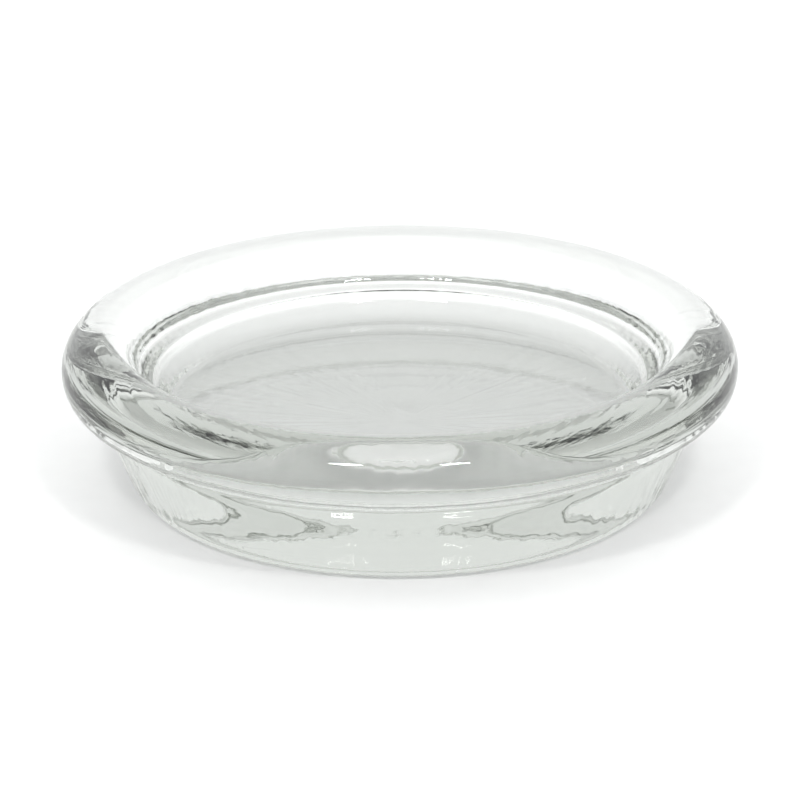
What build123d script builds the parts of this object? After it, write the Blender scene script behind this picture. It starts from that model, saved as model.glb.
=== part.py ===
from build123d import *
import os

# Moulded watch glass: a shallow well inside a thick rolled lip, on a narrower flared foot.
# It is one piece of pressed glass, a solid of revolution about Z. Z = 0 is the plane it stands on.
# Every point below is (radius, height) on the half section.

# Lip: a round bead. Its widest circle sits part-way up and its crest is the top of the dish.
LIP_RADIUS = 33.5
LIP_WIDEST_Z = 12.15
BEAD_HALF_WIDTH = 4.2
BEAD_RISE = 3.8
LIP_UNDER = (30.2, 8.85)

# Inner slope: the bead rolls over its crest, falls steeply, then eases out toward the rim.
SLOPE_MIDDLE = (26.3, 13.6)
SLOPE_FOOT = (24.75, 11.2)

# Rim of the well: a narrow upright band between two soft edges, where the slope turns down into the
# wall and where the wall turns away into the fillet.
RIM_UPPER = (24.3, 10.7)
RIM_LOWER = (24.12, 9.9)

# Well: a wall that is all fillet, and a floor dished very slightly toward the middle.
WALL_FOOT = (23.7, 9.3)
FLOOR_EDGE = (21.4, 8.3)
FLOOR_CENTRE_Z = 8.1

# Base: flat underside and rounded foot edge. The skirt flares slightly, and a small cove joins it to
# the underside of the lip.
UNDERSIDE_RADIUS = 25.2
SKIRT_FOOT = (27.5, 2.3)
SKIRT_TOP = (29.45, 7.7)

# Handle length, as a share of the radius, that makes a cubic curve follow a quarter of an ellipse.
QUARTER_HANDLE = 0.5523

# Derived points of the bead: its centre circle, its crest and its widest point.
BEAD_CENTRE_RADIUS = LIP_RADIUS - BEAD_HALF_WIDTH
CREST = (BEAD_CENTRE_RADIUS, LIP_WIDEST_Z + BEAD_RISE)
LIP_EDGE = (LIP_RADIUS, LIP_WIDEST_Z)


def underside_and_skirt():
    """Edges from the axis out along the underside, round the foot and up to the lip."""
    Line((0, 0), (UNDERSIDE_RADIUS, 0))
    Bezier((UNDERSIDE_RADIUS, 0), (26.5, 0), (26.95, 1.0), SKIRT_FOOT)
    Bezier(SKIRT_FOOT, (28.34, 4.28), (29.15, 6.3), SKIRT_TOP)
    Bezier(SKIRT_TOP, (29.64, 8.59), (29.7, 8.78), LIP_UNDER)
    Bezier(LIP_UNDER, (32.0, 9.1), (LIP_RADIUS, 10.3), LIP_EDGE)


def lip_and_slope():
    """Edges over the bead, from its widest circle across the crest and down to the rim."""
    edge_handle = (LIP_RADIUS, LIP_WIDEST_Z + QUARTER_HANDLE * BEAD_RISE)
    crest_handle = (BEAD_CENTRE_RADIUS + QUARTER_HANDLE * BEAD_HALF_WIDTH, CREST[1])
    Bezier(LIP_EDGE, edge_handle, crest_handle, CREST)
    Bezier(CREST, (27.8, CREST[1]), (27.0, 14.95), SLOPE_MIDDLE)
    Bezier(SLOPE_MIDDLE, (25.95, 12.92), (25.4, 11.65), SLOPE_FOOT)
    Bezier(SLOPE_FOOT, (24.5, 11.03), (24.34, 10.95), RIM_UPPER)


def well():
    """Edges down the wall of the well, across its floor to the axis, and back down the axis."""
    Bezier(RIM_UPPER, (24.25, 10.4), (24.16, 10.15), RIM_LOWER)
    Bezier(RIM_LOWER, (24.06, 9.7), (23.9, 9.5), WALL_FOOT)
    Bezier(WALL_FOOT, (23.1, 8.7), (22.5, 8.34), FLOOR_EDGE)
    Bezier(FLOOR_EDGE, (14.5, 8.14), (7.0, FLOOR_CENTRE_Z), (0, FLOOR_CENTRE_Z))
    Line((0, FLOOR_CENTRE_Z), (0, 0))


def make_dish():
    """Revolve the half section about Z."""
    with BuildPart() as dish:
        with BuildSketch(Plane.XZ):
            with BuildLine():
                underside_and_skirt()
                lip_and_slope()
                well()
            make_face()
        revolve(axis=Axis.Z)
    return dish.part


os.makedirs("parts", exist_ok=True)
export_step(make_dish(), "parts/dish.step")
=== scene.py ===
"""A pressed clear-glass watch dish on a pale bench under soft studio light."""

import logging
import math
from collections.abc import Mapping, Sequence
from dataclasses import dataclass, field
from enum import Enum

import bpy
from mathutils import Matrix, Vector


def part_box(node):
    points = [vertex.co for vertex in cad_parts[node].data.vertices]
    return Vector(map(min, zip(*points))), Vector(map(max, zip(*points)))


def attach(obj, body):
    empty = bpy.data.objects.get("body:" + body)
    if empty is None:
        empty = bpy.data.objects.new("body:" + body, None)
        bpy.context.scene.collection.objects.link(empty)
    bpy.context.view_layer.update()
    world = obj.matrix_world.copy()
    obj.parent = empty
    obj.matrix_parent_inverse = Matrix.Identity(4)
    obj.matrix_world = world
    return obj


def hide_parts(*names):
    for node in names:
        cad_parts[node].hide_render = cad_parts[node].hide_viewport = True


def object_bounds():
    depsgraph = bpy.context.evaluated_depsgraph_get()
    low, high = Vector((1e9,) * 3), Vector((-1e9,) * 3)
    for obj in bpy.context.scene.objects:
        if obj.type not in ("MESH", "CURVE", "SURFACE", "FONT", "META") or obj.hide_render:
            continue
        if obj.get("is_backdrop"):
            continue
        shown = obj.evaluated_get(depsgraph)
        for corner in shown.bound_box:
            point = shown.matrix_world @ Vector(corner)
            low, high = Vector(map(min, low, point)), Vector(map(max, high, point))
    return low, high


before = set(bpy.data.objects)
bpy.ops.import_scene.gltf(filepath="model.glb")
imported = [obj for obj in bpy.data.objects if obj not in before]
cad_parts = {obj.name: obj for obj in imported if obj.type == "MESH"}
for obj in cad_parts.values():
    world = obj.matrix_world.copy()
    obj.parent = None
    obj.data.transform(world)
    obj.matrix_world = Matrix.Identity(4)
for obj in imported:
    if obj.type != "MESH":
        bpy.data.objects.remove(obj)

LOG = logging.getLogger("watch_dish")
MM = 0.001
GLASS_BOUNCES = 24
Point = tuple[float, float]
Corner = tuple[float, float, float]


class Side(Enum):
    """The two sides of the dish, as the sign of X."""

    LEFT = -1.0
    RIGHT = 1.0


def to_linear(hex_colour: str, alpha: float = 1.0) -> tuple[float, float, float, float]:
    """Turns an sRGB hex colour into the linear values a shader takes.

    Args:
        hex_colour: Six hex digits, with or without a leading #.
        alpha: The fourth value to carry along.

    Returns:
        Linear red, green and blue, then alpha.
    """
    digits = hex_colour.lstrip("#")
    parts = [int(digits[i : i + 2], 16) / 255 for i in (0, 2, 4)]
    red, green, blue = (
        c / 12.92 if c <= 0.04045 else ((c + 0.055) / 1.055) ** 2.4 for c in parts
    )
    return red, green, blue, alpha


def add_node(
    tree: bpy.types.NodeTree,
    kind: str,
    settings: Mapping[str, object] | None = None,
    inputs: Mapping[str | int, object] | None = None,
) -> bpy.types.Node:
    """Adds one node with its settings, values and incoming links.

    Args:
        tree: The shader or geometry tree that gets the node.
        kind: The node's type name.
        settings: Values of the node's own properties.
        inputs: For each input, by name or number, a plain value or a socket to link.

    Returns:
        The new node.
    """
    node = tree.nodes.new(kind)
    for name, value in (settings or {}).items():
        setattr(node, name, value)
    for key, value in (inputs or {}).items():
        if isinstance(value, bpy.types.NodeSocket):
            tree.links.new(value, node.inputs[key])
        else:
            node.inputs[key].default_value = value
    return node


@dataclass(frozen=True)
class Station:
    """One point of the half-section, in millimetres from the axis and the bench.

    Attributes:
        name: What the glass does there.
        at: Radius and height.
        before: Handle towards the station before.
        after: Handle towards the next station.
        ripple: How strongly the mould's fine ripple shows there, 0 to 1.
    """

    name: str
    at: Point
    before: Point
    after: Point
    ripple: float = 0.0


@dataclass(frozen=True)
class PressedGlass:
    """Soda-lime glass, pressed in an iron mould and fire polished.

    It gives clear glass with a grey depth where the light runs a long way
    inside it, and a skin that is glossy but never quite flat. The absorption is
    a look, not a measured value: it is several times that of ordinary clear
    glass, so that the dish stands out against a white bench.
    """

    name: str = "soda_lime_glass_pressed"
    body_hex: str = "FCFDFC"
    depth_hex: str = "DDDFDB"
    absorption: float = 30.0
    ior: float = 1.52
    roughness: float = 0.0
    orange_peel_pitch_mm: float = 2.2
    orange_peel_depth_mm: float = 0.006

    def material(self) -> bpy.types.Material:
        """Builds the glass material.

        Returns:
            The finished material.
        """
        made = bpy.data.materials.new(self.name)
        made.use_nodes = True
        tree = made.node_tree
        tree.nodes.clear()
        place = add_node(tree, "ShaderNodeTexCoord")
        peel = add_node(
            tree,
            "ShaderNodeTexNoise",
            inputs={
                "Vector": place.outputs["Object"],
                "Scale": 1 / (self.orange_peel_pitch_mm * MM),
                "Detail": 2.0,
                "Roughness": 0.5,
            },
        )
        skin = add_node(
            tree,
            "ShaderNodeBump",
            inputs={
                "Strength": 1.0,
                "Distance": self.orange_peel_depth_mm * MM,
                "Height": peel.outputs["Fac"],
            },
        )
        glass = add_node(
            tree,
            "ShaderNodeBsdfPrincipled",
            inputs={
                "Base Color": to_linear(self.body_hex),
                "Roughness": self.roughness,
                "IOR": self.ior,
                "Transmission Weight": 1.0,
                "Normal": skin.outputs["Normal"],
            },
        )
        depth = add_node(
            tree,
            "ShaderNodeVolumeAbsorption",
            inputs={
                "Color": to_linear(self.depth_hex),
                "Density": self.absorption,
            },
        )
        add_node(
            tree,
            "ShaderNodeOutputMaterial",
            inputs={"Surface": glass.outputs[0], "Volume": depth.outputs[0]},
        )
        return made


@dataclass(frozen=True)
class SeamlessPaper:
    """White cotton background paper: dead matt, with a faint fibre.

    The fibre is drawn many times coarser than real paper's, so that it shows.
    """

    name: str = "seamless_paper_white"
    high_hex: str = "F7F7F6"
    low_hex: str = "F3F3F2"
    fibre_mm: float = 3.0

    def material(self) -> bpy.types.Material:
        """Builds the paper material.

        Returns:
            The finished material.
        """
        made = bpy.data.materials.new(self.name)
        made.use_nodes = True
        tree = made.node_tree
        tree.nodes.clear()
        place = add_node(tree, "ShaderNodeTexCoord")
        fibre = add_node(
            tree,
            "ShaderNodeTexNoise",
            inputs={
                "Vector": place.outputs["Object"],
                "Scale": 1 / (self.fibre_mm * MM),
                "Detail": 4.0,
            },
        )
        tone = add_node(
            tree,
            "ShaderNodeMix",
            {"data_type": "RGBA"},
            {
                "Factor": fibre.outputs["Fac"],
                6: to_linear(self.low_hex),
                7: to_linear(self.high_hex),
            },
        )
        paper = add_node(
            tree,
            "ShaderNodeBsdfPrincipled",
            inputs={
                "Base Color": tone.outputs[2],
                "Roughness": 0.9,
                "Specular IOR Level": 0.2,
            },
        )
        add_node(
            tree, "ShaderNodeOutputMaterial", inputs={"Surface": paper.outputs[0]}
        )
        return made


@dataclass(frozen=True)
class SoftCard:
    """Grey felt card whose dark middle fades out to nothing at its edges.

    It gives the glass something soft and dark to bend at its two sides.
    """

    name: str = "grey_felt_card"
    felt_hex: str = "3A3C3A"

    def material(self, length: float, height: float) -> bpy.types.Material:
        """Builds the card's material.

        Args:
            length: The card's length along Y, in metres.
            height: Its height, in metres.

        Returns:
            The finished material.
        """
        made = bpy.data.materials.new(self.name)
        made.use_nodes = True
        tree = made.node_tree
        tree.nodes.clear()
        place = add_node(tree, "ShaderNodeTexCoord")
        across = add_node(
            tree,
            "ShaderNodeVectorMath",
            {"operation": "MULTIPLY"},
            {0: place.outputs["Object"], 1: (0.0, 2 / length, 1 / height)},
        )
        reach = add_node(
            tree,
            "ShaderNodeVectorMath",
            {"operation": "LENGTH"},
            {0: across.outputs[0]},
        )
        fade = add_node(
            tree,
            "ShaderNodeMapRange",
            {"interpolation_type": "SMOOTHSTEP"},
            {"Value": reach.outputs["Value"], 1: 0.25, 2: 1.0, 3: 1.0, 4: 0.0},
        )
        felt = add_node(
            tree,
            "ShaderNodeBsdfPrincipled",
            inputs={
                "Base Color": to_linear(self.felt_hex),
                "Roughness": 0.95,
                "Alpha": fade.outputs[0],
            },
        )
        add_node(
            tree, "ShaderNodeOutputMaterial", inputs={"Surface": felt.outputs[0]}
        )
        return made


@dataclass
class PressedDish:
    """The dish: one piece of glass turned about Z from its half-section.

    Ripple is the mould's fine unevenness, which changes round the dish and
    hardly along the section; wave is the slow unevenness of the whole skin.
    """

    node: str = "dish"
    body: str = "root"
    slot_name: str = "clear_glass"
    steps_round: int = 512
    steps_between: int = 13
    ripple_pitch_mm: float = 1.3
    ripple_depth_mm: float = 0.18
    wave_pitch_mm: float = 11.0
    wave_depth_mm: float = 0.05
    ripple_ring_mm: float = 27.0
    ripple_lean: float = 0.12
    weld_mm: float = 0.001
    seed: int = 7
    glass: PressedGlass = field(default_factory=PressedGlass)
    section: tuple[Station, ...] = (
        Station("underside_centre", (0.0, 0.0), (0.0, 0.0), (8.4, 0.0), 0.0),
        Station("underside_edge", (25.2, 0.0), (16.8, 0.0), (26.5, 0.0), 0.3),
        Station("foot", (27.5, 2.3), (26.95, 1.0), (28.34, 4.28), 0.7),
        Station("skirt_top", (29.45, 7.7), (29.15, 6.3), (29.64, 8.59), 0.3),
        Station("lip_under", (30.2, 8.85), (29.7, 8.78), (32.0, 9.1), 0.6),
        Station("lip_edge", (33.5, 12.15), (33.5, 10.3), (33.5, 14.2487), 0.1),
        Station("crest", (29.3, 15.95), (31.6197, 15.95), (27.8, 15.95), 0.1),
        Station("slope_middle", (26.3, 13.6), (27.0, 14.95), (25.95, 12.92), 0.2),
        Station("slope_foot", (24.75, 11.2), (25.4, 11.65), (24.5, 11.03), 1.0),
        Station("rim", (24.3, 10.7), (24.34, 10.95), (24.25, 10.4), 1.0),
        Station("rim_foot", (24.12, 9.9), (24.16, 10.15), (24.06, 9.7), 1.0),
        Station("cove", (23.7, 9.3), (23.9, 9.5), (23.1, 8.7), 0.3),
        Station("floor_edge", (21.4, 8.3), (22.5, 8.34), (14.5, 8.14), 0.1),
        Station("floor_centre", (0.0, 8.1), (7.0, 8.1), (0.0, 8.1), 0.0),
    )

    def section_curve(self, low: Corner, high: Corner) -> bpy.types.Object:
        """Draws the half-section in the XZ plane, to the CAD node's size.

        Args:
            low: Lowest corner of the dish.
            high: Highest corner of the dish.

        Returns:
            A curve object; each point's radius holds its share of ripple.
        """
        widest = max(s.at[0] for s in self.section)
        tallest = max(s.at[1] for s in self.section)
        across = (high[0] - low[0]) / 2 / widest
        upward = (high[2] - low[2]) / tallest

        def place(p: Point) -> Corner:
            """Gives a section point's place in metres."""
            return p[0] * across, 0.0, low[2] + p[1] * upward

        curve = bpy.data.curves.new("dish_section", "CURVE")
        curve.dimensions = "3D"
        curve.resolution_u = self.steps_between
        line = curve.splines.new("BEZIER")
        line.bezier_points.add(len(self.section) - 1)
        for knot, station in zip(line.bezier_points, self.section):
            knot.handle_left_type = knot.handle_right_type = "FREE"
            knot.co = place(station.at)
            knot.handle_left = place(station.before)
            knot.handle_right = place(station.after)
            knot.radius = station.ripple
        made = bpy.data.objects.new("dish_section", curve)
        bpy.context.scene.collection.objects.link(made)
        return made

    def turning_tree(self) -> bpy.types.NodeTree:
        """Builds the Geometry Nodes tree that turns a section into glass.

        Returns:
            The node group, with its sizes as named inputs.
        """
        tree = bpy.data.node_groups.new("turned_glass", "GeometryNodeTree")
        for name, kind in (
            ("Section", "NodeSocketGeometry"),
            ("Steps Round", "NodeSocketInt"),
            ("Ripple Pitch", "NodeSocketFloat"),
            ("Ripple Depth", "NodeSocketFloat"),
            ("Wave Pitch", "NodeSocketFloat"),
            ("Wave Depth", "NodeSocketFloat"),
            ("Seed", "NodeSocketFloat"),
            ("Finish", "NodeSocketMaterial"),
        ):
            tree.interface.new_socket(name, in_out="INPUT", socket_type=kind)
        tree.interface.new_socket(
            "Glass", in_out="OUTPUT", socket_type="NodeSocketGeometry"
        )
        given = add_node(tree, "NodeGroupInput").outputs

        # The section's own points, as close together as its curves need.
        points = add_node(
            tree,
            "GeometryNodeResampleCurve",
            {"mode": "EVALUATED"},
            {0: given["Section"]},
        ).outputs[0]
        count = add_node(
            tree, "GeometryNodeAttributeDomainSize", {"component": "CURVE"}, {0: points}
        ).outputs["Point Count"]

        # A sheet with a row for each step round and a point for each section point.
        rows = add_node(
            tree, "ShaderNodeMath", {"operation": "ADD"}, {0: given["Steps Round"], 1: 1.0}
        ).outputs[0]
        sheet = add_node(
            tree,
            "GeometryNodeMeshGrid",
            inputs={"Size X": 1.0, "Size Y": 1.0, "Vertices X": rows, "Vertices Y": count},
        ).outputs["Mesh"]
        index = add_node(tree, "GeometryNodeInputIndex").outputs[0]
        row = add_node(
            tree,
            "ShaderNodeMath",
            {"operation": "FLOOR"},
            {
                0: add_node(
                    tree, "ShaderNodeMath", {"operation": "DIVIDE"}, {0: index, 1: count}
                ).outputs[0]
            },
        ).outputs[0]
        along = add_node(
            tree, "ShaderNodeMath", {"operation": "FLOORED_MODULO"}, {0: index, 1: count}
        ).outputs[0]
        turn = add_node(
            tree,
            "ShaderNodeMath",
            {"operation": "DIVIDE"},
            {
                0: add_node(
                    tree,
                    "ShaderNodeMath",
                    {"operation": "MULTIPLY"},
                    {0: row, 1: math.tau},
                ).outputs[0],
                1: given["Steps Round"],
            },
        ).outputs[0]
        section_place = add_node(
            tree,
            "GeometryNodeSampleIndex",
            {"data_type": "FLOAT_VECTOR", "domain": "POINT"},
            {
                "Geometry": points,
                "Value": add_node(tree, "GeometryNodeInputPosition").outputs[0],
                "Index": along,
            },
        ).outputs[0]
        section_ripple = add_node(
            tree,
            "GeometryNodeSampleIndex",
            {"data_type": "FLOAT", "domain": "POINT"},
            {
                "Geometry": points,
                "Value": add_node(tree, "GeometryNodeInputRadius").outputs[0],
                "Index": along,
            },
        ).outputs[0]
        turned = add_node(
            tree,
            "ShaderNodeVectorRotate",
            {"rotation_type": "Z_AXIS"},
            {"Vector": section_place, "Angle": turn},
        ).outputs[0]
        shell = add_node(
            tree, "GeometryNodeSetPosition", inputs={0: sheet, "Position": turned}
        ).outputs[0]
        shell = add_node(
            tree,
            "GeometryNodeStoreNamedAttribute",
            {"data_type": "FLOAT", "domain": "POINT"},
            {0: shell, "Name": "ripple", "Value": section_ripple},
        ).outputs[0]
        # The first and last rows meet, and each end of the section is one point.
        shell = add_node(
            tree,
            "GeometryNodeMergeByDistance",
            inputs={0: shell, "Distance": self.weld_mm * MM},
        ).outputs[0]

        # Ripple runs across the section: it changes round the dish, hardly along it.
        here = add_node(tree, "GeometryNodeInputPosition").outputs[0]
        outward = add_node(
            tree,
            "ShaderNodeVectorMath",
            {"operation": "NORMALIZE"},
            {
                0: add_node(
                    tree,
                    "ShaderNodeVectorMath",
                    {"operation": "MULTIPLY"},
                    {0: here, 1: (1.0, 1.0, 0.0)},
                ).outputs[0]
            },
        ).outputs[0]
        ring = add_node(
            tree,
            "ShaderNodeVectorMath",
            {"operation": "SCALE"},
            {0: outward, "Scale": self.ripple_ring_mm * MM},
        ).outputs[0]
        leaning = add_node(
            tree,
            "ShaderNodeVectorMath",
            {"operation": "MULTIPLY_ADD"},
            {0: here, 1: (self.ripple_lean,) * 3, 2: ring},
        ).outputs[0]
        ripple = self.noise(tree, leaning, given["Ripple Pitch"], given["Seed"])
        wave = self.noise(tree, here, given["Wave Pitch"], given["Seed"])
        share = add_node(
            tree,
            "GeometryNodeInputNamedAttribute",
            {"data_type": "FLOAT"},
            {"Name": "ripple"},
        ).outputs["Attribute"]
        ripple_depth = add_node(
            tree,
            "ShaderNodeMath",
            {"operation": "MULTIPLY"},
            {0: share, 1: given["Ripple Depth"]},
        ).outputs[0]
        rippled = add_node(
            tree,
            "ShaderNodeMath",
            {"operation": "MULTIPLY"},
            {0: ripple, 1: ripple_depth},
        ).outputs[0]
        sunk = add_node(
            tree,
            "ShaderNodeMath",
            {"operation": "MULTIPLY_ADD"},
            {0: wave, 1: given["Wave Depth"], 2: rippled},
        ).outputs[0]
        inward = add_node(
            tree,
            "ShaderNodeMath",
            {"operation": "MULTIPLY"},
            {0: sunk, 1: -1.0},
        ).outputs[0]
        sink = add_node(
            tree,
            "ShaderNodeVectorMath",
            {"operation": "SCALE"},
            {
                0: add_node(tree, "GeometryNodeInputNormal").outputs[0],
                "Scale": inward,
            },
        ).outputs[0]
        shell = add_node(
            tree, "GeometryNodeSetPosition", inputs={0: shell, "Offset": sink}
        ).outputs[0]
        shell = add_node(
            tree, "GeometryNodeSetShadeSmooth", inputs={0: shell}
        ).outputs[0]
        shell = add_node(
            tree, "GeometryNodeRealizeInstances", inputs={0: shell}
        ).outputs[0]
        shell = add_node(
            tree,
            "GeometryNodeSetMaterial",
            inputs={0: shell, "Material": given["Finish"]},
        ).outputs[0]
        add_node(tree, "NodeGroupOutput", inputs={0: shell})
        return tree

    @staticmethod
    def noise(
        tree: bpy.types.NodeTree,
        place: bpy.types.NodeSocket,
        pitch: bpy.types.NodeSocket,
        seed: bpy.types.NodeSocket,
    ) -> bpy.types.NodeSocket:
        """Adds noise of a given pitch.

        Args:
            tree: The geometry tree.
            place: Where the noise is read.
            pitch: Its pitch in metres.
            seed: Its seed.

        Returns:
            The noise, 0 to 1.
        """
        scale = add_node(
            tree, "ShaderNodeMath", {"operation": "DIVIDE"}, {0: 1.0, 1: pitch}
        ).outputs[0]
        return add_node(
            tree,
            "ShaderNodeTexNoise",
            {"noise_dimensions": "4D"},
            {"Vector": place, "W": seed, "Scale": scale, "Detail": 1.0},
        ).outputs[0]

    def build(self) -> bpy.types.Object:
        """Makes the dish and puts it in place of its CAD node.

        Returns:
            The finished piece.
        """
        low, high = (tuple(c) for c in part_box(self.node))
        section = self.section_curve(low, high)
        tree = self.turning_tree()
        glass = self.glass.material()
        turning = section.modifiers.new("turning", "NODES")
        turning.node_group = tree
        sizes = {
            "Steps Round": self.steps_round,
            "Ripple Pitch": self.ripple_pitch_mm * MM,
            "Ripple Depth": self.ripple_depth_mm * MM,
            "Wave Pitch": self.wave_pitch_mm * MM,
            "Wave Depth": self.wave_depth_mm * MM,
            "Seed": float(self.seed),
            "Finish": glass,
        }
        for socket in tree.interface.items_tree:
            if socket.item_type == "SOCKET" and socket.name in sizes:
                turning[socket.identifier] = sizes[socket.name]
        bpy.context.view_layer.update()
        evaluated = section.evaluated_get(bpy.context.evaluated_depsgraph_get())
        mesh = bpy.data.meshes.new_from_object(evaluated)
        mesh.name = "glass_dish"
        piece = bpy.data.objects.new("glass_dish", mesh)
        bpy.context.scene.collection.objects.link(piece)
        bpy.data.objects.remove(section)
        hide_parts(self.node)
        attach(piece, self.body)
        return piece


@dataclass
class Studio:
    """The pale bench, the soft light round it and the camera."""

    floor_half: float = 2.2
    floor_gap_mm: float = 0.02
    sky: float = 1.15
    lamp_length: float = 0.2
    lamp_width: float = 0.08
    lamp_side: float = 0.35
    lamp_front: float = 0.8
    lamp_height: float = 1.1
    lamp_watts: float = 3.0
    flag_distance: float = 0.6
    flag_length: float = 0.8
    flag_height: float = 0.36
    camera_distance: float = 0.45
    camera_elevation: float = 21.46
    camera_lens: float = 203.8
    camera_roll: float = -0.35
    aim_height: float = 0.5

    def build(self, low: Corner, high: Corner) -> None:
        """Builds floor, light and camera round the object.

        Args:
            low: Lowest corner of the object.
            high: Highest corner of the object.
        """
        self.floor(low)
        self.light(low)
        self.camera(low, high)

    def sheet(self, name: str, corners: Sequence[Corner]) -> bpy.types.Object:
        """Makes one flat stage sheet.

        Args:
            name: The sheet's name.
            corners: Its corners in order.

        Returns:
            The sheet, marked as stage.
        """
        mesh = bpy.data.meshes.new(name)
        mesh.from_pydata(corners, [], [tuple(range(len(corners)))])
        made = bpy.data.objects.new(name, mesh)
        bpy.context.scene.collection.objects.link(made)
        made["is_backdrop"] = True
        return made

    def floor(self, low: Corner) -> None:
        """Lays the paper that the dish stands on.

        Args:
            low: Lowest corner of the object.
        """
        s, z = self.floor_half, low[2] - self.floor_gap_mm * MM
        paper = self.sheet("floor", ((-s, -s, z), (s, -s, z), (s, s, z), (-s, s, z)))
        paper.data.materials.append(SeamlessPaper().material())

    def light(self, low: Corner) -> None:
        """Sets the soft sky, the two small lamps and the two dark flags.

        Args:
            low: Lowest corner of the object.
        """
        world = bpy.data.worlds.new("soft_tent")
        world.use_nodes = True
        background = world.node_tree.nodes["Background"]
        background.inputs["Color"].default_value = to_linear("FDFEFF")
        background.inputs["Strength"].default_value = self.sky
        bpy.context.scene.world = world
        dish = Vector((0.0, 0.0, low[2]))
        for side in Side:
            lamp = bpy.data.lights.new(f"lamp_{side.name.lower()}", "AREA")
            lamp.shape = "ELLIPSE"
            lamp.size, lamp.size_y = self.lamp_length, self.lamp_width
            lamp.energy = self.lamp_watts
            holder = bpy.data.objects.new(lamp.name, lamp)
            place = dish + Vector(
                (side.value * self.lamp_side, -self.lamp_front, self.lamp_height)
            )
            holder.location = place
            holder.rotation_euler = (dish - place).to_track_quat("-Z", "Y").to_euler()
            bpy.context.scene.collection.objects.link(holder)
        felt = SoftCard().material(self.flag_length, self.flag_height)
        for side in Side:
            x, y = side.value * self.flag_distance, self.flag_length / 2
            z0, z1 = low[2], low[2] + self.flag_height
            card = self.sheet(
                f"flag_{side.name.lower()}",
                ((x, -y, z0), (x, y, z0), (x, y, z1), (x, -y, z1)),
            )
            card.data.materials.append(felt)
            card.visible_camera = False

    def camera(self, low: Corner, high: Corner) -> None:
        """Places the camera in front of the dish and above it.

        Args:
            low: Lowest corner of the object.
            high: Highest corner of the object.
        """
        aim = Vector(
            ((low[0] + high[0]) / 2, (low[1] + high[1]) / 2, low[2])
        ) + Vector((0.0, 0.0, self.aim_height * (high[2] - low[2])))
        tilt = math.radians(self.camera_elevation)
        back = Vector((0.0, -math.cos(tilt), math.sin(tilt)))
        optics = bpy.data.cameras.new("camera")
        optics.sensor_width = 36.0
        optics.lens = self.camera_lens
        optics.clip_start, optics.clip_end = 0.01, 20.0
        camera = bpy.data.objects.new("camera", optics)
        facing = (-back).to_track_quat("-Z", "Y").to_matrix().to_4x4()
        roll = Matrix.Rotation(math.radians(self.camera_roll), 4, "Z")
        camera.matrix_world = (
            Matrix.Translation(aim + back * self.camera_distance) @ facing @ roll
        )
        bpy.context.scene.collection.objects.link(camera)
        bpy.context.scene.camera = camera


def set_look() -> None:
    """Keeps whites white and lets light pass through the glass many times."""
    scene = bpy.context.scene
    scene.view_settings.view_transform = "Standard"
    scene.cycles.max_bounces = GLASS_BOUNCES
    scene.cycles.transmission_bounces = GLASS_BOUNCES
    scene.cycles.glossy_bounces = 8
    scene.cycles.diffuse_bounces = 4


def main() -> None:
    """Builds the dish and its studio."""
    logging.basicConfig(level=logging.INFO, format="%(name)s: %(message)s")
    cad_box = [list(corner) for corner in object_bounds()]
    low, high = cad_box
    Studio().build(tuple(low), tuple(high))
    piece = PressedDish().build()
    set_look()


if __name__ == "__main__":
    main()
